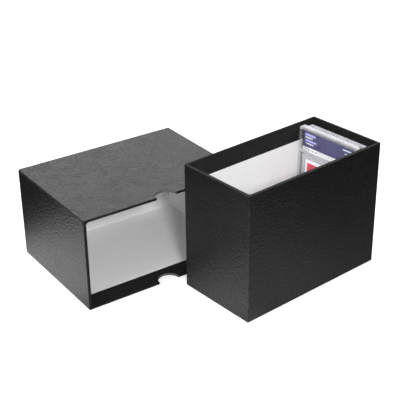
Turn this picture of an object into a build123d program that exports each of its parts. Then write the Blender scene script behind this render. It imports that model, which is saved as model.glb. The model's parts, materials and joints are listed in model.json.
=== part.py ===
"""Trading card drawer box: a paper-covered slipcase, its drawer and two card holders.

The sleeve lies on its side with its mouth towards -Y. The drawer stands beside it, open side
up, with two clear card holders standing near its right end wall. Origin: centre of the sleeve's
underside, X along the sleeve's long side, Y towards its back, Z up. Millimetres.
"""
from build123d import *
import math
import os

# ---- Sheet materials ----
BOARD = 2.2                    # greyboard of every wall
LEATHERETTE = 0.3              # embossed black cover paper
LINER = 0.5                    # white card liner
STAY = 0.1                     # paper tape on the board corners
STAY_LEG = 10.0                # each leg of a folded tape
STAY_END_GAP = 12.0            # from a tape's end to the box corner

# ---- Folds of the cover paper ----
FOLD_RADIUS = 2 * LEATHERETTE  # outside of a fold round a board edge
COVER_FOLD = 12.0              # how far a cover sheet is folded onto the next wall
STRIP_INSET = 2.0              # the side strip stops this far from the sleeve's long edges
SHEET_INSET = 1.5              # the base sheet stops this far from the drawer's edges
MOUTH_TURN_IN = 22.0           # black band inside the sleeve's mouth
RIM_TURN_IN = 20.5             # black band inside the drawer's rim
MOUTH_CORNER = 3.0             # inner corner where the turned-in paper bridges the boards

# ---- Card holder: its outside follows from the card, the label and what is round them ----
CARD_WIDTH = 63.5
CARD_HEIGHT = 88.9
CARD_THICKNESS = 0.4
CARD_CLEARANCE = 0.2           # card to its frame, each side
FRAME_SIDE = 4.55              # card frame's width beside the card
FRAME_END = 5.25               # card frame's width above and below the card
FRAME_LIP = 1.2                # lip behind the card, which carries it
LABEL_HEIGHT = 23.4
LABEL_THICKNESS = 0.3
POCKET_CLEARANCE = 0.15        # frame and label to the pockets they lie in
POCKET_BAR = 3.5               # bar between label pocket and card pocket
HOLDER_SIDE_WALL = 4.6         # clear wall round the pockets
HOLDER_THICKNESS = 6.0
HOLDER_WINDOW = 1.0            # clear wall over the card
HOLDER_CORNER = 4.0
HOLDER_RIM_WIDTH = 3.2         # raised stacking rim round each face
HOLDER_RIM_RISE = 0.5

# ---- Drawer ----
BAY_LENGTH = 180.4             # clear length inside the drawer
HOLDER_PLAY = 7.7              # clear width inside, beyond one holder
HEADROOM = 2.5                 # rim above a standing holder

# ---- Sleeve ----
SLIDE_CLEARANCE = 0.9          # drawer to sleeve, each side
DEPTH_CLEARANCE = 0.5          # drawer's rim to the sleeve's back
NOTCH_RADIUS = 12.0            # half-round thumb notch in the mouth's long edges

# ---- How the pieces stand ----
DRAWER_YAW = 5.53              # degrees, drawer turned from the sleeve
DRAWER_STANDOFF = 16.8         # drawer's nearest corner in front of the sleeve's mouth
DRAWER_CORNER_X = 11.2         # that corner, right of the sleeve's middle
HOLDER_LEAN = 2.0              # degrees, tops towards the right end wall
HOLDER_GAP = 0.3               # between the holders
WALL_GAP = 10.6                # last holder's top to the end wall
HOLDER_OFFSETS = (3.4, -1.6)   # each holder's middle towards the rear wall, from the drawer's middle
FLOOR_GAP = 0.1                # lowest edge of a leaning holder above the liner

# ---- Derived: holder ----
SHELL_HALF = HOLDER_THICKNESS / 2
POCKET_HALF = SHELL_HALF - HOLDER_RIM_RISE - HOLDER_WINDOW
POCKET_WIDTH = CARD_WIDTH + 2 * (CARD_CLEARANCE + FRAME_SIDE + POCKET_CLEARANCE)
CARD_POCKET_HEIGHT = CARD_HEIGHT + 2 * (CARD_CLEARANCE + FRAME_END + POCKET_CLEARANCE)
LABEL_POCKET_HEIGHT = LABEL_HEIGHT + 2 * POCKET_CLEARANCE
HOLDER_WIDTH = POCKET_WIDTH + 2 * HOLDER_SIDE_WALL
HOLDER_HEIGHT = CARD_POCKET_HEIGHT + POCKET_BAR + LABEL_POCKET_HEIGHT + 2 * HOLDER_SIDE_WALL

# ---- Derived: drawer ----
RIM_WALL = 2 * LEATHERETTE + BOARD
LINED_WALL = LEATHERETTE + BOARD + LINER
BASE_BOTTOM = 2 * LEATHERETTE              # base board's underside, on the turned-under wrap
FLOOR_TOP = BASE_BOTTOM + BOARD + LINER
DRAWER_LENGTH = BAY_LENGTH + 2 * LINED_WALL
DRAWER_WIDTH = HOLDER_WIDTH + HOLDER_PLAY + 2 * LINED_WALL
DRAWER_HEIGHT = FLOOR_TOP + HOLDER_HEIGHT + HEADROOM

# ---- Derived: sleeve ----
SLEEVE_SIDE_WALL = 2 * LEATHERETTE + BOARD + LINER
SLEEVE_LENGTH = DRAWER_LENGTH + 2 * SLIDE_CLEARANCE + 2 * SLEEVE_SIDE_WALL
SLEEVE_HEIGHT = DRAWER_WIDTH + 2 * SLIDE_CLEARANCE + 2 * LINED_WALL
SLEEVE_DEPTH = DRAWER_HEIGHT + DEPTH_CLEARANCE + SLEEVE_SIDE_WALL
MOUTH_Y = -SLEEVE_DEPTH / 2
BACK_Y = SLEEVE_DEPTH / 2
BOARD_X = SLEEVE_LENGTH / 2 - 2 * LEATHERETTE      # outer face of the end boards
BOARD_BACK_Y = BACK_Y - 2 * LEATHERETTE            # outer face of the back board
BOARD_FRONT_Y = MOUTH_Y + LEATHERETTE              # front edge of the boards
BOARD_LOW_Z = LEATHERETTE
BOARD_HIGH_Z = SLEEVE_HEIGHT - LEATHERETTE
LINER_FRONT_Y = MOUTH_Y + MOUTH_TURN_IN


def cuboid(low, high):
    """Box between two opposite corners."""
    size = [b - a for a, b in zip(low, high)]
    centre = [(a + b) / 2 for a, b in zip(low, high)]
    return Pos(*centre) * Box(*size)


def upright_edges(solid):
    """Edges along Z."""
    return solid.edges().filter_by(Axis.Z)


def tape(corner, leg_a, leg_b, run):
    """L-shaped paper tape round a board edge, lying outside the boards' corner.

    leg_a and leg_b are unit directions from the corner along the two board faces, and run is
    the vector along the edge. Each leg lies STAY proud of its face.
    """
    corner = Vector(*corner)
    a = Vector(*leg_a)
    b = Vector(*leg_b)
    run = Vector(*run)
    outer = corner - a * STAY - b * STAY
    far = corner + a * STAY_LEG + b * STAY_LEG + run
    whole = spanned(outer, far)
    inner = spanned(corner, far + a * STAY + b * STAY)
    return whole - inner


def spanned(point_a, point_b):
    """Box between two points in any order."""
    low = [min(p, q) for p, q in zip(tuple(point_a), tuple(point_b))]
    high = [max(p, q) for p, q in zip(tuple(point_a), tuple(point_b))]
    return cuboid(low, high)


# ---------------------------------------------------------------- sleeve

def notch_cutter():
    """Half-round thumb notch through top and bottom, centred on the mouth."""
    return Pos(0, MOUTH_Y, SLEEVE_HEIGHT / 2) * Cylinder(NOTCH_RADIUS, 2 * SLEEVE_HEIGHT)


def sleeve_boards():
    """Top and bottom span the whole; back stands between them, ends butt to the back."""
    side_low = BOARD_LOW_Z + BOARD
    side_high = BOARD_HIGH_Z - BOARD
    back_front_y = BOARD_BACK_Y - BOARD
    notch = notch_cutter()
    bottom = cuboid((-BOARD_X, BOARD_FRONT_Y, BOARD_LOW_Z), (BOARD_X, BOARD_BACK_Y, side_low)) - notch
    top = cuboid((-BOARD_X, BOARD_FRONT_Y, side_high), (BOARD_X, BOARD_BACK_Y, BOARD_HIGH_Z)) - notch
    back = cuboid((-BOARD_X, back_front_y, side_low), (BOARD_X, BOARD_BACK_Y, side_high))
    left = cuboid((-BOARD_X, BOARD_FRONT_Y, side_low), (-BOARD_X + BOARD, back_front_y, side_high))
    right = cuboid((BOARD_X - BOARD, BOARD_FRONT_Y, side_low), (BOARD_X, back_front_y, side_high))
    return {
        "sleeve_top_board": top,
        "sleeve_bottom_board": bottom,
        "sleeve_back_board": back,
        "sleeve_left_board": left,
        "sleeve_right_board": right,
    }


def sleeve_stays():
    """Eight tapes: four along the depth and four round the back."""
    depth_run = (0, BOARD_BACK_Y - BOARD_FRONT_Y - 2 * STAY_END_GAP, 0)
    width_run = (2 * BOARD_X - 2 * STAY_END_GAP, 0, 0)
    height_run = (0, 0, BOARD_HIGH_Z - BOARD_LOW_Z - 2 * STAY_END_GAP)
    tapes = []
    for x, inward in ((-BOARD_X, 1), (BOARD_X, -1)):
        for z, vertical in ((BOARD_LOW_Z, 1), (BOARD_HIGH_Z, -1)):
            start = (x, BOARD_FRONT_Y + STAY_END_GAP, z)
            tapes.append(tape(start, (inward, 0, 0), (0, 0, vertical), depth_run))
        start = (x, BOARD_BACK_Y, BOARD_LOW_Z + STAY_END_GAP)
        tapes.append(tape(start, (inward, 0, 0), (0, -1, 0), height_run))
    for z, vertical in ((BOARD_LOW_Z, 1), (BOARD_HIGH_Z, -1)):
        start = (-BOARD_X + STAY_END_GAP, BOARD_BACK_Y, z)
        tapes.append(tape(start, (0, -1, 0), (0, 0, vertical), width_run))
    return tapes


def bottom_cover(stays):
    """Cover sheet under the sleeve: folded up three sides, over the mouth edge and in."""
    face_x = BOARD_X + LEATHERETTE
    board_top = BOARD_LOW_Z + BOARD
    sheet = cuboid((-face_x, MOUTH_Y, 0), (face_x, BOARD_BACK_Y + LEATHERETTE, COVER_FOLD))
    sheet = fillet(upright_edges(sheet) + sheet.faces().sort_by(Axis.Z)[0].edges(), FOLD_RADIUS)
    boards = cuboid((-BOARD_X, BOARD_FRONT_Y, BOARD_LOW_Z), (BOARD_X, BOARD_BACK_Y, 2 * COVER_FOLD))
    above_board = cuboid(
        (-BOARD_X, MOUTH_Y - BOARD, board_top + LEATHERETTE),
        (BOARD_X, BOARD_FRONT_Y, 2 * COVER_FOLD))
    turn_in = cuboid(
        (-BOARD_X + BOARD, BOARD_FRONT_Y, board_top),
        (BOARD_X - BOARD, LINER_FRONT_Y, board_top + LEATHERETTE))
    return sheet - boards - above_board + turn_in - notch_cutter() - stays


def side_strip(stays):
    """Cover strip round left end, back and right end, turned in at both mouth edges."""
    low = STRIP_INSET
    high = SLEEVE_HEIGHT - STRIP_INSET
    fold_x = BOARD_X + LEATHERETTE
    strip = cuboid((-SLEEVE_LENGTH / 2, MOUTH_Y, low), (SLEEVE_LENGTH / 2, BACK_Y, high))
    strip = fillet(upright_edges(strip), FOLD_RADIUS)
    fold_back_y = BOARD_BACK_Y + LEATHERETTE
    covers = cuboid((-fold_x, MOUTH_Y - BOARD, low - BOARD), (fold_x, fold_back_y, high + BOARD))
    strip = strip - covers
    bed_low = COVER_FOLD
    bed_high = SLEEVE_HEIGHT - COVER_FOLD
    bed = cuboid((-fold_x, MOUTH_Y, bed_low), (fold_x, fold_back_y, bed_high))
    boards = cuboid((-BOARD_X, MOUTH_Y - BOARD, bed_low - BOARD), (BOARD_X, BOARD_BACK_Y, bed_high + BOARD))
    strip = strip + (bed - boards)
    return strip + mouth_return(-1) + mouth_return(1) - stays


def mouth_return(side):
    """The strip's fold over one end board's front edge and its turned-in band."""
    low = BOARD_LOW_Z + BOARD + LEATHERETTE
    high = SLEEVE_HEIGHT - low
    inner_x = BOARD_X - BOARD - LEATHERETTE
    over_edge = spanned((side * BOARD_X, MOUTH_Y, low), (side * inner_x, BOARD_FRONT_Y, high))
    band = spanned((side * inner_x, MOUTH_Y, low), (side * (inner_x + LEATHERETTE), LINER_FRONT_Y, high))
    return over_edge + band


def sleeve_liners():
    """White card: one sheet on the floor, one under the top, one band round the three walls."""
    inner_x = BOARD_X - BOARD
    back_y = BOARD_BACK_Y - BOARD
    floor_z = BOARD_LOW_Z + BOARD
    ceiling_z = BOARD_HIGH_Z - BOARD
    floor = cuboid((-inner_x, LINER_FRONT_Y, floor_z), (inner_x, back_y, floor_z + LINER))
    ceiling = cuboid((-inner_x, LINER_FRONT_Y, ceiling_z - LINER), (inner_x, back_y, ceiling_z))
    band = cuboid((-inner_x, LINER_FRONT_Y, floor_z + LINER), (inner_x, back_y, ceiling_z - LINER))
    hollow = cuboid((-inner_x + LINER, MOUTH_Y, floor_z), (inner_x - LINER, back_y - LINER, ceiling_z))
    return {
        "sleeve_bottom_liner": floor,
        "sleeve_top_liner": ceiling,
        "sleeve_side_liner": band - hollow,
    }


def sleeve():
    """All nodes of the sleeve."""
    stays = sleeve_stays()
    lower = bottom_cover(stays)
    middle = Plane.XY.offset(SLEEVE_HEIGHT / 2)
    nodes = sleeve_boards()
    nodes["sleeve_corner_stays"] = Compound([stay.solid() for stay in stays])
    nodes["sleeve_bottom_cover"] = lower
    nodes["sleeve_top_cover"] = mirror(lower, about=middle)
    nodes["sleeve_side_strip"] = side_strip(stays)
    nodes.update(sleeve_liners())
    return nodes


# ---------------------------------------------------------------- drawer

def centred(length, width, low_z, high_z):
    """Upright block centred on the drawer's own axis."""
    return cuboid((-length / 2, -width / 2, low_z), (length / 2, width / 2, high_z))


def drawer_boards():
    """Base under the walls, long walls over the ends of the short ones."""
    length = DRAWER_LENGTH - 2 * LEATHERETTE
    width = DRAWER_WIDTH - 2 * LEATHERETTE
    wall_low = BASE_BOTTOM + BOARD
    wall_high = DRAWER_HEIGHT - LEATHERETTE
    half_l = length / 2
    half_w = width / 2
    return {
        "drawer_base_board": centred(length, width, BASE_BOTTOM, wall_low),
        "drawer_front_board": cuboid((-half_l, -half_w, wall_low), (half_l, -half_w + BOARD, wall_high)),
        "drawer_rear_board": cuboid((-half_l, half_w - BOARD, wall_low), (half_l, half_w, wall_high)),
        "drawer_left_board": cuboid(
            (-half_l, -half_w + BOARD, wall_low), (-half_l + BOARD, half_w - BOARD, wall_high)),
        "drawer_right_board": cuboid(
            (half_l - BOARD, -half_w + BOARD, wall_low), (half_l, half_w - BOARD, wall_high)),
    }


def drawer_stays():
    """Eight tapes: four upright corners and four edges of the base."""
    half_l = DRAWER_LENGTH / 2 - LEATHERETTE
    half_w = DRAWER_WIDTH / 2 - LEATHERETTE
    height_run = (0, 0, DRAWER_HEIGHT - LEATHERETTE - BASE_BOTTOM - 2 * STAY_END_GAP)
    tapes = []
    for x, across in ((-half_l, 1), (half_l, -1)):
        for y, along in ((-half_w, 1), (half_w, -1)):
            start = (x, y, BASE_BOTTOM + STAY_END_GAP)
            tapes.append(tape(start, (across, 0, 0), (0, along, 0), height_run))
        start = (x, -half_w + STAY_END_GAP, BASE_BOTTOM)
        tapes.append(tape(start, (across, 0, 0), (0, 0, 1), (0, 2 * half_w - 2 * STAY_END_GAP, 0)))
    for y, along in ((-half_w, 1), (half_w, -1)):
        start = (-half_l + STAY_END_GAP, y, BASE_BOTTOM)
        tapes.append(tape(start, (0, along, 0), (0, 0, 1), (2 * half_l - 2 * STAY_END_GAP, 0, 0)))
    return tapes


def drawer_wrap(stays):
    """Cover paper round the walls, over the rim and in, and turned under the base."""
    length = DRAWER_LENGTH
    width = DRAWER_WIDTH
    outside = centred(length, width, LEATHERETTE, DRAWER_HEIGHT)
    outside = fillet(upright_edges(outside) + outside.faces().sort_by(Axis.Z)[-1].edges(), FOLD_RADIUS)
    outside = fillet(outside.faces().sort_by(Axis.Z)[0].edges(), LEATHERETTE / 2)
    boards = centred(
        length - 2 * LEATHERETTE, width - 2 * LEATHERETTE, BASE_BOTTOM, DRAWER_HEIGHT - LEATHERETTE)
    inner_face = 2 * (LEATHERETTE + BOARD)
    band_low = DRAWER_HEIGHT - RIM_TURN_IN
    band = centred(length - inner_face, width - inner_face, band_low, DRAWER_HEIGHT)
    mouth = centred(length - 2 * RIM_WALL, width - 2 * RIM_WALL, band_low - BOARD, DRAWER_HEIGHT + BOARD)
    mouth = fillet(upright_edges(mouth), MOUTH_CORNER)
    under = centred(length - 2 * COVER_FOLD, width - 2 * COVER_FOLD, 0, BASE_BOTTOM + BOARD)
    return outside - boards + band - mouth - under - stays


def drawer_papers():
    """Black sheet under the base, white card on the floor and round the walls."""
    inner_l = DRAWER_LENGTH - 2 * (LEATHERETTE + BOARD)
    inner_w = DRAWER_WIDTH - 2 * (LEATHERETTE + BOARD)
    sheet = centred(DRAWER_LENGTH - 2 * SHEET_INSET, DRAWER_WIDTH - 2 * SHEET_INSET, 0, LEATHERETTE)
    bed = centred(
        DRAWER_LENGTH - 2 * COVER_FOLD, DRAWER_WIDTH - 2 * COVER_FOLD, 0, BASE_BOTTOM)
    band = centred(inner_l, inner_w, FLOOR_TOP, DRAWER_HEIGHT - RIM_TURN_IN)
    hollow = centred(inner_l - 2 * LINER, inner_w - 2 * LINER, 0, DRAWER_HEIGHT)
    return {
        "drawer_base_sheet": sheet + bed,
        "drawer_floor_liner": centred(inner_l, inner_w, FLOOR_TOP - LINER, FLOOR_TOP),
        "drawer_wall_liner": band - hollow,
    }


def drawer():
    """All nodes of the drawer, round its own base centre."""
    stays = drawer_stays()
    nodes = drawer_boards()
    nodes["drawer_corner_stays"] = Compound([stay.solid() for stay in stays])
    nodes["drawer_side_wrap"] = drawer_wrap(stays)
    nodes.update(drawer_papers())
    return nodes


# ---------------------------------------------------------------- card holders

def plate(thickness, width, height, corner, front_x, low_z):
    """Upright plate with rounded corners, its thickness along X."""
    body = cuboid((front_x, -width / 2, low_z), (front_x + thickness, width / 2, low_z + height))
    return fillet(body.edges().filter_by(Axis.X), corner)


def holder_half(front):
    """One clear shell: half thickness, raised rim, and half of each pocket."""
    shell = plate(SHELL_HALF, HOLDER_WIDTH, HOLDER_HEIGHT, HOLDER_CORNER, -SHELL_HALF, 0)
    window = plate(
        HOLDER_RIM_RISE, HOLDER_WIDTH - 2 * HOLDER_RIM_WIDTH, HOLDER_HEIGHT - 2 * HOLDER_RIM_WIDTH,
        HOLDER_CORNER - HOLDER_RIM_WIDTH / 2, -SHELL_HALF, HOLDER_RIM_WIDTH)
    card_pocket = cuboid(
        (-POCKET_HALF, -POCKET_WIDTH / 2, HOLDER_SIDE_WALL),
        (0, POCKET_WIDTH / 2, HOLDER_SIDE_WALL + CARD_POCKET_HEIGHT))
    label_low = HOLDER_HEIGHT - HOLDER_SIDE_WALL - LABEL_POCKET_HEIGHT
    label_pocket = cuboid(
        (-POCKET_HALF, -POCKET_WIDTH / 2, label_low),
        (0, POCKET_WIDTH / 2, label_low + LABEL_POCKET_HEIGHT))
    half = shell - window - card_pocket - label_pocket
    if front:
        return half
    return mirror(half, about=Plane.YZ)


def card_frame():
    """Clear frame that fills the card pocket, with a stepped window that holds the card."""
    width = POCKET_WIDTH - 2 * POCKET_CLEARANCE
    height = CARD_POCKET_HEIGHT - 2 * POCKET_CLEARANCE
    depth = POCKET_HALF - POCKET_CLEARANCE
    low = HOLDER_SIDE_WALL + POCKET_CLEARANCE
    block = cuboid((-depth, -width / 2, low), (depth, width / 2, low + height))
    seat_width = CARD_WIDTH + 2 * CARD_CLEARANCE
    seat_height = CARD_HEIGHT + 2 * CARD_CLEARANCE
    middle = low + height / 2
    seat = cuboid(
        (-2 * depth, -seat_width / 2, middle - seat_height / 2),
        (CARD_THICKNESS / 2, seat_width / 2, middle + seat_height / 2))
    through = cuboid(
        (-2 * depth, -seat_width / 2 + FRAME_LIP, middle - seat_height / 2 + FRAME_LIP),
        (2 * depth, seat_width / 2 - FRAME_LIP, middle + seat_height / 2 - FRAME_LIP))
    return block - seat - through


def holder_papers():
    """The card against its frame's lip, and the label behind the front window."""
    middle = HOLDER_SIDE_WALL + CARD_POCKET_HEIGHT / 2
    card = cuboid(
        (-CARD_THICKNESS / 2, -CARD_WIDTH / 2, middle - CARD_HEIGHT / 2),
        (CARD_THICKNESS / 2, CARD_WIDTH / 2, middle + CARD_HEIGHT / 2))
    label_low = HOLDER_HEIGHT - HOLDER_SIDE_WALL - LABEL_POCKET_HEIGHT + POCKET_CLEARANCE
    label_half = POCKET_WIDTH / 2 - POCKET_CLEARANCE
    label = cuboid(
        (-POCKET_HALF, -label_half, label_low),
        (-POCKET_HALF + LABEL_THICKNESS, label_half, label_low + LABEL_HEIGHT))
    return card, label


def holder(number):
    """One holder's nodes, standing upright on the middle of its lower edge."""
    card, label = holder_papers()
    name = f"holder_{number}_"
    return {
        name + "front_shell": holder_half(True),
        name + "rear_shell": holder_half(False),
        name + "card_frame": card_frame(),
        name + "card": card,
        name + "label": label,
    }


def holder_place(number):
    """Where holder `number` stands in the drawer; the last one is nearest the end wall."""
    behind = len(HOLDER_OFFSETS) - number
    lean = math.radians(HOLDER_LEAN)
    wall_x = DRAWER_LENGTH / 2 - RIM_WALL
    top_x = wall_x - WALL_GAP
    rear_foot_x = top_x - HOLDER_HEIGHT * math.sin(lean)
    pitch = (HOLDER_THICKNESS + HOLDER_GAP) / math.cos(lean)
    rear_foot_x -= behind * pitch
    foot_x = rear_foot_x - SHELL_HALF * math.cos(lean)
    foot_z = FLOOR_TOP + FLOOR_GAP + SHELL_HALF * math.sin(lean)
    return Pos(foot_x, HOLDER_OFFSETS[number - 1], foot_z) * Rot(0, HOLDER_LEAN, 0)


# ---------------------------------------------------------------- assembly

def drawer_place():
    """Drawer's base centre, from the corner that is nearest the sleeve's mouth."""
    yaw = math.radians(DRAWER_YAW)
    to_centre_x = DRAWER_LENGTH / 2 * math.cos(yaw) + DRAWER_WIDTH / 2 * math.sin(yaw)
    to_centre_y = DRAWER_LENGTH / 2 * math.sin(yaw) - DRAWER_WIDTH / 2 * math.cos(yaw)
    x = DRAWER_CORNER_X + to_centre_x
    y = MOUTH_Y - DRAWER_STANDOFF + to_centre_y
    return Pos(x, y, 0) * Rot(0, 0, DRAWER_YAW)


def build():
    """Every node at rest, in the sleeve's frame."""
    nodes = sleeve()
    place = drawer_place()
    for name, solid in drawer().items():
        nodes[name] = place * solid
    for number in range(1, len(HOLDER_OFFSETS) + 1):
        for name, solid in holder(number).items():
            nodes[name] = place * holder_place(number) * solid
    return nodes


os.makedirs("parts", exist_ok=True)
for node, shape in build().items():
    export_step(shape, f"parts/{node}.step")
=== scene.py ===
"""Looks of the trading card drawer box: cover paper, liners, clear card holders, light, camera."""
import json
import math
import bmesh
import bpy
from mathutils import Matrix, Quaternion, Vector

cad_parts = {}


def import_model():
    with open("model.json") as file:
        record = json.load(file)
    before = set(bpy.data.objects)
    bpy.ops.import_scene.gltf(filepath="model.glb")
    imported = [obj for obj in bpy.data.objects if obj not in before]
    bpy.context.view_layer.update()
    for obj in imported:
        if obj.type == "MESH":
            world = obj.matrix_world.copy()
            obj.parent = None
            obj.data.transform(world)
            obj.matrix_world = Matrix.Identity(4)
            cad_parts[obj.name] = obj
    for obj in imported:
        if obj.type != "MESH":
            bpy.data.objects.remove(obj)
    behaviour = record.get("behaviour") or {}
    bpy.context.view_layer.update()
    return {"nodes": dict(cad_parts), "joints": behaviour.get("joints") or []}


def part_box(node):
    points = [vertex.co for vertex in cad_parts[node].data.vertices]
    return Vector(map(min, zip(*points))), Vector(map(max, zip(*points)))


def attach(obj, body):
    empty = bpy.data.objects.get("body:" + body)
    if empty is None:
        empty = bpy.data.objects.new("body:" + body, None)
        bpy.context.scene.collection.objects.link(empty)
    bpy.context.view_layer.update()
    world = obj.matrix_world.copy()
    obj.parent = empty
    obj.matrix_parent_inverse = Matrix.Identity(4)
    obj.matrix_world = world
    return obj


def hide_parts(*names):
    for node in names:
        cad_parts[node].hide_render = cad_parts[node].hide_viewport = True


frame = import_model()
MM = 0.001
UP = Vector((0.0, 0.0, 1.0))
MOUTHWARD = Vector((0.0, -1.0, 0.0))
LENGTHWISE = Vector((1.0, 0.0, 0.0))

# ---- Camera: the photograph's own view ----
CAMERA_PLACE = Vector((-0.487263, -0.845515, 0.571291))
CAMERA_TARGET = Vector((0.068907, -0.032823, 0.060))
CAMERA_ROLL = math.radians(-0.756)
CAMERA_LENS = 89.955
CAMERA_SENSOR = 36.0
CAMERA_REACH = 20.0

# ---- Floor and light, metres and watts ----
FLOOR_SIZE = 8.0
FLOOR_CELLS = 8
FLOOR_DROP = 0.0002            # the floor's surface below the object's base
FLOOR_WHITE = 0.8
FLOOR_MOTTLE = 0.01            # the floor's colour is lighter and darker by this
FLOOR_ROUGHNESS = 0.9
FLOOR_GLOW = 0.35              # added for camera rays, so that the lit floor is white
FLOOR_FAR = 0.014              # what gloss sees of the floor away from the pools
FLOOR_POOLS = (                # centre, radius of full light, radius of none, strength in gloss
    ((-0.145, 0.022, 0.0), 0.055, 0.132, 1.36),
    ((-0.04, -0.145, 0.0), 0.03, 0.115, 0.78),
    ((0.07, -0.27, 0.0), 0.03, 0.24, 0.50),
    ((0.10, 0.27, 0.0), 0.08, 0.28, 0.42),
    ((0.37, -0.02, 0.0), 0.08, 0.28, 0.42),
    ((0.05, -0.03, 0.0), 0.20, 0.50, 0.028))
WORLD_FILL = 0.76              # strength of the world on diffuse surfaces
DOME = (                       # sine of the height, strength in gloss
    (0.0, 0.04), (0.26, 0.10), (0.40, 2.9), (0.53, 4.4), (0.64, 1.3), (0.78, 0.3))
LAMPS = (                      # name, place, target, width, height, power
    ("top_softbox", (0.1, 0.3, 1.4), (0.0, 0.0, 0.0), 1.4, 1.0, 16.0),
    ("key_softbox", (-0.54, -1.25, 0.83), (0.0, 0.0, 0.05), 0.16, 0.16, 12.8),
    ("left_softbox", (-1.3, -0.2, 0.9), (0.1, -0.1, 0.1), 0.9, 0.7, 9.0))

# ---- Card holder, millimetres ----
HOLDER_CORNER = 4.0
RIM_WIDTH = 3.2
RIM_RISE = 0.5
WINDOW = 1.0
SIDE_WALL = 4.6
POCKET_BAR = 3.5
LABEL_POCKET = 23.7
RIB_PITCH = 2.8
RIB_DEPTH = 0.40
RIB_STEPS = 6                  # outline points per rib
HOLDER_CORNER_STEPS = 16       # outline points per corner
SEAM = 0.03                    # each shell's mating face back from the middle
SEAM_INSET = 0.25              # the mating face in from the outline
SEAM_BEVEL = 0.3               # from the middle to where the edge reaches the outline
EDGE_CHAMFER = 0.35
STRAIGHT = 1e-6                # an outward direction's lesser part along a straight side
GLASS, RIM, SHADED_SIDE = range(3)    # a shell's materials: windows, rims and top, side edges; the side edges' darker, clearer plastic is painted shade

# ---- Cover paper at the folds and the mouth, metres ----
FOLD_INSET = 0.0004            # how far inside the box's outer faces the cover paper is dull
PAPER_THICK = 0.0003
MOUTH_CORNER = 0.003           # radius of the paper in the mouth's inner corners
MOUTH_CORNER_STEPS = 12
BEDDED = 0.00002               # a bridging paper's reach into its neighbours

# ---- Cover paper's grain: scales per metre, heights as shares of the relief ----
GRAIN_RELIEF = 0.21 * MM
PUSH_SCALE = 500.0             # cells and pebbles are pushed about by noise of this scale
PUSH_REACH = 1.2 * MM
CELL_SCALE = 820.0
CELL_SLOPE = 0.30              # distance from a cell's edge to its flat top, in cells
CELL_HEIGHT = 0.35
FINE_SCALE = 2200.0
FINE_HEIGHT = 0.25
PEBBLE_SCALE = 380.0
PEBBLE_HEIGHTS = (2.6, 4.6)    # in the calm patches and in the strong ones
PATCH_SCALE = 55.0
PATCH_NOISE = (0.40, 0.60)     # noise of a calm patch and of a strong one
WAVE_SCALE = 14.0
WAVE_HEIGHT = 0.5
PAPER_BLACKS = ((0.0022, 0.0022, 0.0025), (0.0042, 0.0042, 0.0046))
PAPER_ROUGHNESS = (0.36, 0.285)    # at the cells' edges and on their flat tops
DULL_ROUGHNESS = 0.92
PAPER_IOR = 1.50
# Grey along the folds: partly wear, partly a painted highlight on the box's edges.
WEAR_AND_HIGHLIGHT_GREY = (0.10, 0.10, 0.10)
WEAR_AND_HIGHLIGHT_RADIUS = 0.5 * MM
WEAR_AND_HIGHLIGHT_FACING = (0.995, 0.80)    # cosine to the rounded normal where the worn grey and painted edge highlight start and are full
WEAR_AND_HIGHLIGHT_SHARES = (0.25, 1.0)      # between the pebbles and on them
BEVEL_SAMPLES = 6

# ---- Nodes ----
NOISE_ROUGHNESS = 0.55
NOISE_MEAN = 0.5
MIDDLE = (0.3, 0.7)            # where most of a noise's values lie
NARROW = (0.35, 0.65)
WIDE = (0.2, 0.8)
MIX_COLOURS = (6, 7)           # a Mix node's two colour inputs
MIX_RESULT = 2                 # and its colour output

# ---- Liner, board, tape, plastic and print: colours and roughness from low to high ----
LINER_WHITES = ((0.80, 0.80, 0.80), (0.86, 0.86, 0.86))
LINER_ROUGHNESS = (0.55, 0.75)
LINER_RELIEF = 0.02 * MM
LINER_MOTTLE_HEIGHT = 4.0
LINER_IOR = 1.45
BOARD_GREYS = ((0.07, 0.068, 0.065), (0.14, 0.135, 0.13))
BOARD_ROUGHNESS = (0.8, 0.95)
BOARD_RELIEF = 0.06 * MM
LAYER_GREY = (0.05, 0.048, 0.045)
LAYER_SHARE = 0.35
LAYER_SCALE = 700.0
LAYER_WANDER = 2.5
TAPE_BROWNS = ((0.46, 0.33, 0.20), (0.62, 0.48, 0.31))
TAPE_ROUGHNESS = (0.7, 0.85)
TAPE_RELIEF = 0.03 * MM
PLASTICS = {                   # name: tint, milky share, roughness
    "clear": ((0.90, 0.91, 0.95), 0.015, (0.06, 0.14)),
    "milky": ((0.78, 0.78, 0.84), 0.34, (0.20, 0.40)),
    "frosted": ((0.78, 0.78, 0.83), 0.52, (0.20, 0.35)),
    "frame": ((0.84, 0.84, 0.88), 0.46, (0.25, 0.40)),
    # darker and clearer than the rims: painted shade on the holders' side edges
    "edge": ((0.62, 0.62, 0.67), 0.16, (0.10, 0.20))}
PLASTIC_IOR = 1.49
PLASTIC_RELIEF = 0.008 * MM
FLOW_HEIGHT = 3.0
FLOW_TONE = 0.93               # tint in the flow's darker streaks
FLOW_COVER = 0.8               # milky share in its clearer ones
PRINT_ROUGHNESS = (0.36, 0.48)
PRINT_RELIEF = 0.01 * MM
INK_SPREAD = 0.12              # an ink's colour is darker and lighter by this share
BARE_SPREAD = 0.02

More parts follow.
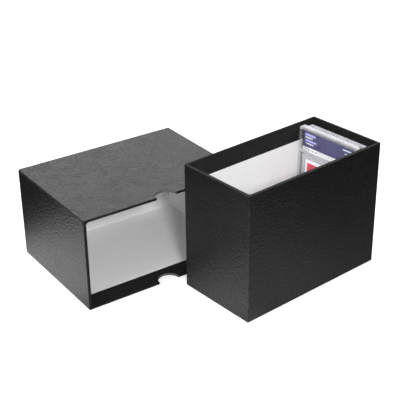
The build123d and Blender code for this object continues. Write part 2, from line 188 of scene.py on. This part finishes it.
# ---- Prints: inks by their place in a sheet's materials, sizes in millimetres ----
BARE_PAPER = (0.86, 0.87, 0.90)
BARE = 0
LABEL_INKS = (
    ("label_indigo", (0.048, 0.046, 0.135)), ("label_lavender", (0.45, 0.44, 0.80)),
    ("label_pale", (0.60, 0.62, 0.74)), ("label_grey", (0.22, 0.22, 0.24)))
INDIGO, LAVENDER, PALE, GREY = range(1, 5)
LABEL_SIZE = (73.0, 23.4)
LABEL_STRIP = 5.4              # height of the white strip
LABEL_MARGIN = 3.0
LEFT_BARS = (                  # length, thickness, ink, from the top down
    (15.0, 2.6, LAVENDER), (11.0, 2.0, PALE), (17.0, 2.0, LAVENDER), (13.0, 1.4, PALE))
LEFT_BARS_TOP = 2.2
LEFT_BARS_PITCH = 3.6
RIGHT_BARS = (12.0, 9.0, 12.0)
RIGHT_BARS_TOP = 3.0
RIGHT_BARS_PITCH = 4.2
RIGHT_BAR = 1.6
TICKS = 9
TICKS_START = 2.0
TICK_PITCH = 1.9
TICK_WIDTH = 0.5
TICK_GROWTH = 0.35             # every second and third tick is wider by once and twice this
TICK_MARGIN = 1.4
CARD_INKS = (
    ("card_red", (0.62, 0.05, 0.09)), ("card_rose", (0.80, 0.42, 0.42)),
    ("card_cream", (0.74, 0.72, 0.68)), ("card_slate", (0.25, 0.30, 0.36)),
    ("card_ink", (0.12, 0.12, 0.14)))
RED, ROSE, CREAM, SLATE, INK = range(1, 6)
CARD_SIZE = (63.5, 88.9)
CARD_BORDER = 2.8
HEADING = (20.0, 1.4)          # from and to below the field's top
HEADING_BARS = ((16.0, 13.4, 18.0), (10.0, 8.2, 30.0))    # the same, and the right margin
HEADING_BARS_START = 4.0
NEST_LOW = 17.0                # nested panels' common foot above the field's
NEST_TOP = 21.0                # and their common top below the field's
NEST = ((5.0, SLATE), (9.0, CREAM), (13.5, ROSE), (18.0, RED))    # inset, ink
RULES = 5
RULES_LOW = 4.0
RULE_PITCH = 3.2
RULE = 1.2
RULE_MARGIN = 6.0
RULE_STEP = 5.0                # every second and third rule is shorter by once and twice this


# ---------------------------------------------------------------- node helpers

def new_material(name):
    """An empty node material with its tree and its shader, joined to the output."""
    material = bpy.data.materials.new(name)
    material.use_nodes = True
    tree = material.node_tree
    tree.nodes.clear()
    output = tree.nodes.new("ShaderNodeOutputMaterial")
    shader = tree.nodes.new("ShaderNodeBsdfPrincipled")
    tree.links.new(shader.outputs["BSDF"], output.inputs["Surface"])
    return material, tree, shader


def coords(tree):
    """The object's own coordinates, in metres."""
    return tree.nodes.new("ShaderNodeTexCoord").outputs["Object"]


def noise(tree, vector, scale, detail=3.0):
    """Noise texture's value."""
    node = tree.nodes.new("ShaderNodeTexNoise")
    node.inputs["Scale"].default_value = scale
    node.inputs["Detail"].default_value = detail
    node.inputs["Roughness"].default_value = NOISE_ROUGHNESS
    tree.links.new(vector, node.inputs["Vector"])
    return node.outputs["Fac"]


def cell_distance(tree, vector, scale):
    """Distance to the nearest edge of a pattern of cells."""
    node = tree.nodes.new("ShaderNodeTexVoronoi")
    node.feature = "DISTANCE_TO_EDGE"
    node.inputs["Scale"].default_value = scale
    tree.links.new(vector, node.inputs["Vector"])
    return node.outputs["Distance"]


def remap(tree, value, low, high, to_low=0.0, to_high=1.0):
    """Value from low..high to to_low..to_high, clamped."""
    node = tree.nodes.new("ShaderNodeMapRange")
    node.inputs["From Min"].default_value = low
    node.inputs["From Max"].default_value = high
    node.inputs["To Min"].default_value = to_low
    node.inputs["To Max"].default_value = to_high
    tree.links.new(value, node.inputs["Value"])
    return node.outputs["Result"]


def calc(tree, operation, a, b):
    """Maths on two values, each a socket or a number."""
    node = tree.nodes.new("ShaderNodeMath")
    node.operation = operation
    for socket, value in zip(node.inputs, (a, b)):
        if hasattr(value, "links"):
            tree.links.new(value, socket)
        else:
            socket.default_value = value
    return node.outputs["Value"]


def total(tree, *terms):
    """Sum of pairs of a value and its weight."""
    parts = [calc(tree, "MULTIPLY", value, weight) for value, weight in terms]
    result = parts[0]
    for part in parts[1:]:
        result = calc(tree, "ADD", result, part)
    return result


def mix(tree, factor, a, b):
    """a where factor is 0, b where it is 1; each a socket or a number."""
    kept = calc(tree, "MULTIPLY", calc(tree, "SUBTRACT", 1.0, factor), a)
    return calc(tree, "ADD", kept, calc(tree, "MULTIPLY", factor, b))


def blend_colour(tree, factor, colour_a, colour_b):
    """Colour a where factor is 0, b where it is 1; each a colour or a socket."""
    node = tree.nodes.new("ShaderNodeMix")
    node.data_type = "RGBA"
    tree.links.new(factor, node.inputs["Factor"])
    for index, colour in zip(MIX_COLOURS, (colour_a, colour_b)):
        socket = node.inputs[index]
        if hasattr(colour, "links"):
            tree.links.new(colour, socket)
        else:
            socket.default_value = (*colour, 1.0)
    return node.outputs[MIX_RESULT]


def vector_maths(tree, operation, vector, other):
    """Node of maths on a vector and another one, each a socket or numbers."""
    node = tree.nodes.new("ShaderNodeVectorMath")
    node.operation = operation
    for socket, value in zip(node.inputs, (vector, other)):
        if hasattr(value, "links"):
            tree.links.new(value, socket)
        else:
            socket.default_value = value
    return node


def warp(tree, vector, scale, amount):
    """Coordinates pushed about by noise."""
    texture = tree.nodes.new("ShaderNodeTexNoise")
    texture.inputs["Scale"].default_value = scale
    tree.links.new(vector, texture.inputs["Vector"])
    centred = vector_maths(tree, "SUBTRACT", texture.outputs["Color"], (NOISE_MEAN,) * 3)
    scaled = tree.nodes.new("ShaderNodeVectorMath")
    scaled.operation = "SCALE"
    scaled.inputs["Scale"].default_value = amount
    tree.links.new(centred.outputs["Vector"], scaled.inputs[0])
    return vector_maths(tree, "ADD", vector, scaled.outputs["Vector"]).outputs["Vector"]


def bump(tree, shader, height, distance, normal=None):
    """Bump from a height, in metres at height 1."""
    node = tree.nodes.new("ShaderNodeBump")
    node.inputs["Distance"].default_value = distance
    tree.links.new(height, node.inputs["Height"])
    if normal is not None:
        tree.links.new(normal, node.inputs["Normal"])
    tree.links.new(node.outputs["Normal"], shader.inputs["Normal"])


def edge_mask(tree, radius):
    """0 on flats and 1 on edges, and the rounded normal itself."""
    rounded = tree.nodes.new("ShaderNodeBevel")
    rounded.samples = BEVEL_SAMPLES
    rounded.inputs["Radius"].default_value = radius
    normal = tree.nodes.new("ShaderNodeNewGeometry").outputs["Normal"]
    facing = vector_maths(tree, "DOT_PRODUCT", rounded.outputs["Normal"], normal)
    return remap(tree, facing.outputs["Value"], *WEAR_AND_HIGHLIGHT_FACING), rounded.outputs["Normal"]


def within(tree, place, axis, low, high):
    """1 where the place's reach along an axis is between low and high."""
    reach = vector_maths(tree, "DOT_PRODUCT", place, axis).outputs["Value"]
    above = calc(tree, "GREATER_THAN", reach, low)
    return calc(tree, "MULTIPLY", above, calc(tree, "LESS_THAN", reach, high))


# ---------------------------------------------------------------- materials

def dress(tree, shader, tone, roughness, height, relief):
    """Gives a shader its colour, roughness and bump."""
    tree.links.new(tone, shader.inputs["Base Color"])
    tree.links.new(roughness, shader.inputs["Roughness"])
    bump(tree, shader, height, relief)


def leatherette(name, inside):
    """Black cover paper: embossed pebble grain, satin, worn grey along the folds that is also a
    painted edge highlight.

    inside is a list of (axis, low, high): where all hold, on the turned-in band and the rim, the
    paper is dull.
    """
    material, tree, shader = new_material(name)
    place = coords(tree)
    pushed = warp(tree, place, PUSH_SCALE, PUSH_REACH)
    cells = remap(tree, cell_distance(tree, pushed, CELL_SCALE), 0.0, CELL_SLOPE)
    fine = noise(tree, place, FINE_SCALE, detail=2.0)
    pebbles = noise(tree, pushed, PEBBLE_SCALE, detail=1.0)
    patches = noise(tree, place, PATCH_SCALE, detail=2.0)
    waves = noise(tree, place, WAVE_SCALE, detail=2.0)
    centred = calc(tree, "SUBTRACT", pebbles, NOISE_MEAN)
    strength = remap(tree, patches, *PATCH_NOISE, *PEBBLE_HEIGHTS)
    height = total(
        tree, (cells, CELL_HEIGHT), (fine, FINE_HEIGHT), (centred, strength), (waves, WAVE_HEIGHT))
    wear_and_highlight, rounded = edge_mask(tree, WEAR_AND_HIGHLIGHT_RADIUS)
    bump(tree, shader, height, GRAIN_RELIEF, rounded)
    dull = 1.0
    for axis, low, high in inside:
        dull = calc(tree, "MULTIPLY", dull, within(tree, place, axis, low, high))
    # Grey on the edges' pebbles, off the dull band: wear, and a painted highlight along the edges.
    rub_and_highlight = calc(tree, "MULTIPLY", wear_and_highlight, remap(tree, pebbles, *NARROW, *WEAR_AND_HIGHLIGHT_SHARES))
    rub_and_highlight = calc(tree, "MULTIPLY", rub_and_highlight, calc(tree, "SUBTRACT", 1.0, dull))
    tone = blend_colour(tree, rub_and_highlight, blend_colour(tree, cells, *PAPER_BLACKS), WEAR_AND_HIGHLIGHT_GREY)
    tree.links.new(tone, shader.inputs["Base Color"])
    gloss = remap(tree, cells, 0.0, 1.0, *PAPER_ROUGHNESS)
    tree.links.new(mix(tree, dull, gloss, DULL_ROUGHNESS), shader.inputs["Roughness"])
    shader.inputs["IOR"].default_value = PAPER_IOR
    return material


def liner_card():
    """Smooth white liner with a faint fibre."""
    material, tree, shader = new_material("white_liner_card")
    place = coords(tree)
    fibre = noise(tree, place, scale=1500.0, detail=4.0)
    mottle = noise(tree, place, scale=60.0)
    tone = blend_colour(tree, mottle, *LINER_WHITES)
    roughness = remap(tree, fibre, *MIDDLE, *LINER_ROUGHNESS)
    height = total(tree, (fibre, 1.0), (mottle, LINER_MOTTLE_HEIGHT))
    dress(tree, shader, tone, roughness, height, LINER_RELIEF)
    shader.inputs["IOR"].default_value = LINER_IOR
    return material


def greyboard():
    """Raw solid board: grey, flecked, with the layers of its cut edge."""
    material, tree, shader = new_material("greyboard")
    place = coords(tree)
    flecks = noise(tree, place, scale=1900.0)
    wave = tree.nodes.new("ShaderNodeTexWave")
    wave.bands_direction = "Z"
    wave.inputs["Scale"].default_value = LAYER_SCALE
    wave.inputs["Distortion"].default_value = LAYER_WANDER
    tree.links.new(place, wave.inputs["Vector"])
    layers = wave.outputs["Fac"]
    tone = blend_colour(tree, remap(tree, flecks, *MIDDLE), *BOARD_GREYS)
    tone = blend_colour(tree, calc(tree, "MULTIPLY", layers, LAYER_SHARE), tone, LAYER_GREY)
    roughness = remap(tree, flecks, *WIDE, *BOARD_ROUGHNESS)
    dress(tree, shader, tone, roughness, calc(tree, "ADD", flecks, layers), BOARD_RELIEF)
    return material


def kraft_tape():
    """Brown paper tape of the corner stays."""
    material, tree, shader = new_material("kraft_tape")
    fibre = noise(tree, coords(tree), scale=1200.0, detail=4.0)
    tone = blend_colour(tree, fibre, *TAPE_BROWNS)
    roughness = remap(tree, fibre, *MIDDLE, *TAPE_ROUGHNESS)
    dress(tree, shader, tone, roughness, fibre, TAPE_RELIEF)
    return material


def plastic(kind):
    """Clear moulded plastic, a share of it milky, with a faint flow and fine scuffs."""
    tint, cover, rough = PLASTICS[kind]
    material, tree, shader = new_material(f"{kind}_plastic")
    place = coords(tree)
    flow = noise(tree, place, scale=90.0)
    scuffs = noise(tree, place, scale=1400.0)
    tone = blend_colour(tree, flow, [FLOW_TONE * c for c in tint], tint)
    roughness = remap(tree, scuffs, *NARROW, *rough)
    height = total(tree, (flow, FLOW_HEIGHT), (scuffs, 1.0))
    dress(tree, shader, tone, roughness, height, PLASTIC_RELIEF)
    tree.links.new(remap(tree, flow, *MIDDLE, FLOW_COVER * cover, cover), shader.inputs["Alpha"])
    shader.inputs["IOR"].default_value = PLASTIC_IOR
    return material


def printed(name, ink, spread=INK_SPREAD):
    """Printed paper of one ink, with the fine mottle of print."""
    material, tree, shader = new_material(name)
    mottle = noise(tree, coords(tree), scale=500.0, detail=4.0)
    dark = [c * (1.0 - spread) for c in ink]
    light = [min(1.0, c * (1.0 + spread)) for c in ink]
    tone = blend_colour(tree, mottle, dark, light)
    roughness = remap(tree, mottle, *MIDDLE, *PRINT_ROUGHNESS)
    dress(tree, shader, tone, roughness, mottle, PRINT_RELIEF)
    return material


def ray_kinds(tree):
    """1 for rays that see the background as it is, and 1 for glossy rays."""
    path = tree.nodes.new("ShaderNodeLightPath")
    seen = calc(tree, "MAXIMUM", path.outputs["Is Camera Ray"], path.outputs["Is Transmission Ray"])
    return seen, path.outputs["Is Glossy Ray"]


def pool(tree, place, centre, full, none, strength):
    """Strength within `full` of the centre, fading to 0 at `none`."""
    away = vector_maths(tree, "DISTANCE", place, centre).outputs["Value"]
    fade = remap(tree, away, full, none, strength, 0.0)
    fade.node.interpolation_type = "SMOOTHSTEP"
    return fade


def floor_material():
    """Pale floor: white where it is lit, with the object's shadow, and pools of light in gloss."""
    material, tree, shader = new_material("studio_floor")
    place = coords(tree)
    seen, glossy = ray_kinds(tree)
    grain = noise(tree, place, scale=40.0, detail=2.0)
    darker = (FLOOR_WHITE - FLOOR_MOTTLE,) * 3
    lighter = (FLOOR_WHITE + FLOOR_MOTTLE,) * 3
    tone = blend_colour(tree, grain, darker, lighter)
    tone = blend_colour(tree, glossy, tone, (0.0, 0.0, 0.0))
    tree.links.new(tone, shader.inputs["Base Color"])
    shader.inputs["Roughness"].default_value = FLOOR_ROUGHNESS
    shader.inputs["Specular IOR Level"].default_value = 0.0
    shader.inputs["Emission Color"].default_value = (1.0, 1.0, 1.0, 1.0)
    pools = FLOOR_FAR
    for centre, full, none, strength in FLOOR_POOLS:
        pools = calc(tree, "ADD", pools, pool(tree, place, centre, full, none, strength))
    glow = mix(tree, glossy, calc(tree, "MULTIPLY", seen, FLOOR_GLOW), pools)
    tree.links.new(glow, shader.inputs["Emission Strength"])
    return material


# ---------------------------------------------------------------- mesh helpers

def mesh_object(name, bm, materials, matrix=None):
    """Scene object from a bmesh."""
    bmesh.ops.recalc_face_normals(bm, faces=bm.faces)
    mesh = bpy.data.meshes.new(name)
    bm.to_mesh(mesh)
    bm.free()
    for material in materials:
        mesh.materials.append(material)
    thing = bpy.data.objects.new(name, mesh)
    bpy.context.scene.collection.objects.link(thing)
    if matrix is not None:
        thing.matrix_world = matrix
    return thing


def rounded_outline(width, height, corner, steps_side, steps_corner):
    """Points (y, z, outward y, outward z) round an upright rounded rectangle, z from 0."""
    half = width / 2
    points = []
    corners = (
        (half - corner, height - corner, 0.0), (-half + corner, height - corner, 90.0),
        (-half + corner, corner, 180.0), (half - corner, corner, 270.0))
    for index, (centre_y, centre_z, start) in enumerate(corners):
        for step in range(steps_corner):
            angle = math.radians(start + 90.0 * step / steps_corner)
            out_y = math.cos(angle)
            out_z = math.sin(angle)
            points.append((centre_y + corner * out_y, centre_z + corner * out_z, out_y, out_z))
        next_y, next_z, next_start = corners[(index + 1) % 4]
        angle = math.radians(next_start)
        out_y = math.cos(angle)
        out_z = math.sin(angle)
        begin = (centre_y + corner * out_y, centre_z + corner * out_z)
        end = (next_y + corner * out_y, next_z + corner * out_z)
        steps = steps_side[index % 2]
        for step in range(steps):
            y = begin[0] + (end[0] - begin[0]) * step / steps
            z = begin[1] + (end[1] - begin[1]) * step / steps
            points.append((y, z, out_y, out_z))
    return points


def ring(bm, x, points):
    """Loop of vertices at depth x, all in millimetres."""
    return [bm.verts.new((x * MM, y * MM, z * MM)) for y, z in points]


def bridge(bm, ring_a, ring_b, material=0):
    """Quads between two loops of as many vertices."""
    count = len(ring_a)
    for index in range(count):
        following = (index + 1) % count
        face = bm.faces.new((ring_a[index], ring_a[following], ring_b[following], ring_b[index]))
        face.material_index = material


def fill_plane(bm, loops, material):
    """Flat face bounded by loops, the first outside and the rest holes."""
    edges = []
    for loop in loops:
        for index, vertex in enumerate(loop):
            following = loop[(index + 1) % len(loop)]
            edge = bm.edges.get((vertex, following))
            edges.append(edge or bm.edges.new((vertex, following)))
    result = bmesh.ops.triangle_fill(bm, edges=edges, use_beauty=True)
    for element in result["geom"]:
        if isinstance(element, bmesh.types.BMFace):
            element.material_index = material


# ---------------------------------------------------------------- sleeve's mouth

def mouth_corner(side, level, material):
    """Paper bridging one inner corner of the mouth: a hollow fillet as deep as the black band.

    side is -1 for the left wall and 1 for the right one, level -1 for the floor and 1 for the top.
    """
    liner_low, liner_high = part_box("sleeve_side_liner")
    floor_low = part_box("sleeve_bottom_liner")[0]
    top_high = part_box("sleeve_top_liner")[1]
    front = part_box("sleeve_side_strip")[0][1]
    wall = (liner_low[0] if side < 0 else liner_high[0]) - side * PAPER_THICK
    flat = (floor_low[2] if level < 0 else top_high[2]) - level * PAPER_THICK
    centre = (wall - side * MOUTH_CORNER, flat - level * MOUTH_CORNER)
    section = [(wall + side * BEDDED, flat + level * BEDDED)]
    for step in range(MOUTH_CORNER_STEPS + 1):
        angle = math.pi / 2 * step / MOUTH_CORNER_STEPS
        section.append((
            centre[0] + side * MOUTH_CORNER * math.cos(angle),
            centre[1] + level * MOUTH_CORNER * math.sin(angle)))
    bm = bmesh.new()
    ends = [[bm.verts.new((x, y, z)) for x, z in section] for y in (front + BEDDED, liner_low[1])]
    bridge(bm, *ends)
    for end in ends:
        bm.faces.new(end)
    name = f"sleeve_mouth_corner_{'left' if side < 0 else 'right'}_{'low' if level < 0 else 'high'}"
    piece = mesh_object(name, bm, [material])
    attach(piece, "sleeve")


# ---------------------------------------------------------------- card holders

def joint_axis(name):
    """A joint's axis in the row frame."""
    for joint in frame["joints"]:
        if joint["name"] == name:
            return Vector(joint["axis"]).normalized()
    raise ValueError(name)


def level_across(up):
    """Level direction square to a leaning axis: across the drawer, from its front wall to its rear."""
    return Vector((-up.y, up.x, 0.0)).normalized()


def spans(nodes, axes):
    """Lowest and highest reach of CAD nodes along each axis."""
    reach = []
    for axis in axes:
        values = [v.co.dot(axis) for node in nodes for v in frame["nodes"][node].data.vertices]
        reach.append((min(values), max(values)))
    return reach


def holder_frame(number):
    """Matrix from a holder's own frame: x through it, y across, z up from its foot. And its size."""
    up = joint_axis(f"holder_{number}_lift")
    across = level_across(up)
    through = across.cross(up)
    shells = (f"holder_{number}_front_shell", f"holder_{number}_rear_shell")
    (x0, x1), (y0, y1), (z0, z1) = spans(shells, (through, across, up))
    origin = through * ((x0 + x1) / 2) + across * ((y0 + y1) / 2) + up * z0
    turn = Matrix((through, across, up)).transposed().to_4x4()
    return Matrix.Translation(origin) @ turn, (x1 - x0) / MM, (y1 - y0) / MM, (z1 - z0) / MM


def drawn_in(outline, amount, ribs=0.0):
    """Outline's points (y, z) drawn in by amount, and along straight sides by ribs besides."""
    points = []
    for index, (y, z, out_y, out_z) in enumerate(outline):
        depth = amount
        if ribs and min(abs(out_y), abs(out_z)) < STRAIGHT:
            phase = (index - HOLDER_CORNER_STEPS) % RIB_STEPS / RIB_STEPS
            depth += ribs * (0.5 - 0.5 * math.cos(2 * math.pi * phase))
        points.append((y - out_y * depth, z - out_z * depth))
    return points


def shell_edge(bm, sign, half, outline):
    """A shell's ribbed edge, raised rim and window. Returns its loop on the mating face."""
    loops = [
        ring(bm, sign * SEAM, drawn_in(outline, SEAM_INSET)),
        ring(bm, sign * SEAM_BEVEL, drawn_in(outline, 0.0, RIB_DEPTH)),
        ring(bm, sign * (half - EDGE_CHAMFER), drawn_in(outline, 0.0, RIB_DEPTH)),
        ring(bm, sign * half, drawn_in(outline, EDGE_CHAMFER)),
        ring(bm, sign * half, drawn_in(outline, RIM_WIDTH - EDGE_CHAMFER)),
        ring(bm, sign * (half - RIM_RISE), drawn_in(outline, RIM_WIDTH))]
    for loop, following in zip(loops, loops[1:]):
        bridge(bm, loop, following, RIM)
    fill_plane(bm, [loops[-1]], GLASS)
    return loops[0]


def shell_pocket(bm, sign, deep, half_width, low, high):
    """A pocket cut into a shell's mating face. Returns its mouth."""
    square = [(-half_width, low), (half_width, low), (half_width, high), (-half_width, high)]
    mouth = ring(bm, sign * SEAM, square)
    bottom = ring(bm, sign * deep, square)
    bridge(bm, mouth, bottom, GLASS)
    bm.faces.new(bottom)
    return mouth


def holder_shell(number, side, materials):
    """One half of a clear holder: ribbed edge, raised rim, window and both pockets."""
    matrix, thickness, width, height = holder_frame(number)
    sign = -1.0 if side == "front" else 1.0
    half = thickness / 2
    ribs_across = round((width - 2 * HOLDER_CORNER) / RIB_PITCH)
    ribs_up = round((height - 2 * HOLDER_CORNER) / RIB_PITCH)
    steps_side = (ribs_across * RIB_STEPS, ribs_up * RIB_STEPS)
    outline = rounded_outline(width, height, HOLDER_CORNER, steps_side, HOLDER_CORNER_STEPS)
    bm = bmesh.new()
    seam = shell_edge(bm, sign, half, outline)

    pocket_half = width / 2 - SIDE_WALL
    label_low = height - SIDE_WALL - LABEL_POCKET
    card_high = label_low - POCKET_BAR
    mouths = [
        shell_pocket(bm, sign, half - RIM_RISE - WINDOW, pocket_half, low, high)
        for low, high in ((SIDE_WALL, card_high), (label_low, height - SIDE_WALL))]
    fill_plane(bm, [seam, *mouths], GLASS)
    # The bar between the pockets is as milky as the rim, and the side edges get a darker, clearer
    # plastic than the top: painted shade on the holder's sides.
    for face in bm.faces:
        middle = face.calc_center_median() / MM
        if abs(middle.x) < 2 * SEAM and card_high < middle.z < label_low:
            face.material_index = RIM
        elif face.material_index and middle.z < height - HOLDER_CORNER and abs(middle.y) > pocket_half:
            face.material_index = SHADED_SIDE
    piece = mesh_object(f"holder_{number}_{side}_case", bm, materials, matrix)
    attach(piece, f"holder_{number}")
    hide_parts(f"holder_{number}_{side}_shell")


def cut_places(low, high, marks):
    """Places where a sheet is cut from low to high: its ends and the marks between them."""
    return sorted(place for place in {low, high, *marks} if low <= place <= high)


def ink_at(prints, y, z):
    """Ink of the last print over a point of the sheet."""
    top_ink = BARE
    for y0, z0, y1, z1, ink in prints:
        if y0 < y < y1 and z0 < z < z1:
            top_ink = ink
    return top_ink


def printed_sheet(number, kind, prints, materials):
    """Flat paper in a holder, whose front carries printed rectangles.

    prints is a list of (low y, low z, high y, high z, ink) in millimetres from the sheet's lower
    middle; a later one lies over an earlier one.
    """
    node = f"holder_{number}_{kind}"
    matrix = holder_frame(number)[0]
    inverse = matrix.inverted()
    places = [inverse @ v.co for v in frame["nodes"][node].data.vertices]
    low = [min(p[i] for p in places) / MM for i in range(3)]
    high = [max(p[i] for p in places) / MM for i in range(3)]
    foot = low[2]
    cuts_y = cut_places(low[1], high[1], [y for p in prints for y in (p[0], p[2])])
    cuts_z = cut_places(low[2], high[2], [foot + z for p in prints for z in (p[1], p[3])])
    bm = bmesh.new()
    columns = [ring(bm, low[0], [(y, z) for z in cuts_z]) for y in cuts_y]
    for column, (left, right) in enumerate(zip(columns, columns[1:])):
        for row in range(len(cuts_z) - 1):
            face = bm.faces.new((left[row], right[row], right[row + 1], left[row + 1]))
            y = (cuts_y[column] + cuts_y[column + 1]) / 2
            z = (cuts_z[row] + cuts_z[row + 1]) / 2 - foot
            face.material_index = ink_at(prints, y, z)
    border = [e for e in bm.edges if e.is_boundary]
    grown = bmesh.ops.extrude_edge_only(bm, edges=border)
    for element in grown["geom"]:
        if isinstance(element, bmesh.types.BMVert):
            element.co.x = high[0] * MM
        elif isinstance(element, bmesh.types.BMFace):
            element.material_index = BARE
    rim = [e for e in bm.edges if e.is_boundary]
    for face in bmesh.ops.holes_fill(bm, edges=rim)["faces"]:
        face.material_index = BARE
    piece = mesh_object(f"holder_{number}_printed_{kind}", bm, materials, matrix)
    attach(piece, f"holder_{number}")
    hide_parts(node)


def label_prints(width, height):
    """Indigo field over a white strip, with plain bars where a printed label has its lines."""
    half = width / 2
    left = half - LABEL_MARGIN
    prints = [(-half, 0.0, half, height, INDIGO), (-half, 0.0, half, LABEL_STRIP, BARE)]
    for row, (length, thick, ink) in enumerate(LEFT_BARS):
        top = height - LEFT_BARS_TOP - row * LEFT_BARS_PITCH
        prints.append((left - length, top - thick, left, top, ink))
    for row, length in enumerate(RIGHT_BARS):
        top = height - RIGHT_BARS_TOP - row * RIGHT_BARS_PITCH
        prints.append((-left, top - RIGHT_BAR, -left + length, top, PALE))
    for tick in range(TICKS):
        start = left - TICKS_START - tick * TICK_PITCH
        end = start - TICK_WIDTH - TICK_GROWTH * (tick % 3)
        prints.append((end, TICK_MARGIN, start, LABEL_STRIP - TICK_MARGIN, GREY))
    return prints


def card_prints(width, height):
    """White border, a red heading, nested plain panels, and ruled lines below them."""
    field = width / 2 - CARD_BORDER
    top = height - CARD_BORDER
    prints = [
        (-field, CARD_BORDER, field, top, CREAM),
        (-field, top - HEADING[0], field, top - HEADING[1], RED),
        (-field, top - HEADING[1], field, top, BARE)]
    for low, high, margin in HEADING_BARS:
        prints.append((-field + HEADING_BARS_START, top - low, field - margin, top - high, ROSE))
    for inset, ink in NEST:
        low = CARD_BORDER + NEST_LOW + inset
        prints.append((-field + inset, low, field - inset, top - NEST_TOP - inset, ink))
    for line in range(RULES):
        low = CARD_BORDER + RULES_LOW + RULE_PITCH * line
        end = field - RULE_MARGIN - RULE_STEP * (line % 3)
        prints.append((-field + RULE_MARGIN, low, end, low + RULE, INK))
    return prints


# ---------------------------------------------------------------- dress the model

def paint(names, material):
    """Gives CAD nodes one material."""
    for name in names:
        mesh = frame["nodes"][name].data
        mesh.materials.clear()
        mesh.materials.append(material)


def named(*ends):
    """CAD nodes whose names end so."""
    return [name for name in frame["nodes"] if name.endswith(ends)]


def inner_box(nodes, axes, open_axis):
    """Bounds (axis, low, high) just inside the nodes' outer faces, and just past the open end."""
    bounds = []
    for axis, (low, high) in zip(axes, spans(nodes, axes)):
        past = FOLD_INSET if axis == open_axis else -FOLD_INSET
        bounds.append((tuple(axis), low + FOLD_INSET, high + past))
    return bounds


def dress_boxes():
    """Paper, liner, board and tape on the CAD nodes, and the paper in the mouth's corners."""
    across = level_across(joint_axis("holder_1_lift"))
    along = across.cross(UP)
    covers = named("_cover", "_strip")
    sleeve_black = leatherette(
        "black_leatherette_sleeve", inner_box(covers, (LENGTHWISE, MOUTHWARD, UP), MOUTHWARD))
    drawer_black = leatherette(
        "black_leatherette_drawer", inner_box(["drawer_side_wrap"], (along, across, UP), UP))
    paint(covers, sleeve_black)
    paint(named("_wrap", "_sheet"), drawer_black)
    paint(named("_liner"), liner_card())
    paint(named("_board"), greyboard())
    paint(named("_stays"), kraft_tape())
    for side in (-1, 1):
        for level in (-1, 1):
            mouth_corner(side, level, sleeve_black)


def dress_holders():
    """Clear shells, card frames, labels and cards."""
    paint(named("_card_frame"), plastic("frame"))
    glass = plastic("clear")
    # the side edges' darker plastic: painted shade
    edge = plastic("edge")
    rims = {1: plastic("frosted"), 2: plastic("milky")}
    paper = printed("label_white", BARE_PAPER, BARE_SPREAD)
    label_papers = [paper, *(printed(name, ink) for name, ink in LABEL_INKS)]
    card_papers = [paper, *(printed(name, ink) for name, ink in CARD_INKS)]
    for number, rim in rims.items():
        for side in ("front", "rear"):
            holder_shell(number, side, [glass, rim, edge])
        printed_sheet(number, "label", label_prints(*LABEL_SIZE), label_papers)
        printed_sheet(number, "card", card_prints(*CARD_SIZE), card_papers)


# ---------------------------------------------------------------- floor, light, camera

def floor():
    """Large pale floor."""
    bm = bmesh.new()
    bmesh.ops.create_grid(bm, x_segments=FLOOR_CELLS, y_segments=FLOOR_CELLS, size=FLOOR_SIZE / 2)
    ground = mesh_object("studio_floor", bm, [floor_material()])
    ground.location = (0.0, 0.0, -FLOOR_DROP)


def area_light(name, place, target, size_x, size_y, power):
    """Soft rectangular lamp aimed at a point, unseen in gloss."""
    lamp = bpy.data.lights.new(name, "AREA")
    lamp.shape = "RECTANGLE"
    lamp.size = size_x
    lamp.size_y = size_y
    lamp.energy = power
    thing = bpy.data.objects.new(name, lamp)
    thing.location = place
    thing.rotation_euler = (Vector(target) - Vector(place)).to_track_quat("-Z", "Y").to_euler()
    thing.visible_glossy = False
    bpy.context.scene.collection.objects.link(thing)


def world():
    """White where it is seen, a bright dome over a dark horizon in gloss, plain fill elsewhere."""
    scene_world = bpy.data.worlds.new("studio")
    scene_world.use_nodes = True
    tree = scene_world.node_tree
    background = tree.nodes["Background"]
    background.inputs["Color"].default_value = (1.0, 1.0, 1.0, 1.0)
    seen, glossy = ray_kinds(tree)
    split = tree.nodes.new("ShaderNodeSeparateXYZ")
    direction = tree.nodes.new("ShaderNodeTexCoord").outputs["Generated"]
    tree.links.new(direction, split.inputs["Vector"])
    dome = DOME[0][1]
    for (low, before), (high, after) in zip(DOME, DOME[1:]):
        step = remap(tree, split.outputs["Z"], low, high, 0.0, after - before)
        dome = calc(tree, "ADD", dome, step)
    strength = mix(tree, glossy, mix(tree, seen, WORLD_FILL, 1.0), dome)
    tree.links.new(strength, background.inputs["Strength"])
    bpy.context.scene.world = scene_world


def camera():
    """The photograph's camera."""
    lens = bpy.data.cameras.new("camera")
    lens.lens = CAMERA_LENS
    lens.sensor_width = CAMERA_SENSOR
    lens.clip_end = CAMERA_REACH
    eye = bpy.data.objects.new("camera", lens)
    eye.location = CAMERA_PLACE
    eye.rotation_mode = "QUATERNION"
    look = (CAMERA_TARGET - CAMERA_PLACE).to_track_quat("-Z", "Y")
    eye.rotation_quaternion = look @ Quaternion((0.0, 0.0, 1.0), CAMERA_ROLL)
    bpy.context.scene.collection.objects.link(eye)
    bpy.context.scene.camera = eye


dress_boxes()
dress_holders()
floor()
for softbox in LAMPS:
    area_light(*softbox)
world()
camera()
bpy.context.scene.view_settings.view_transform = "Standard"
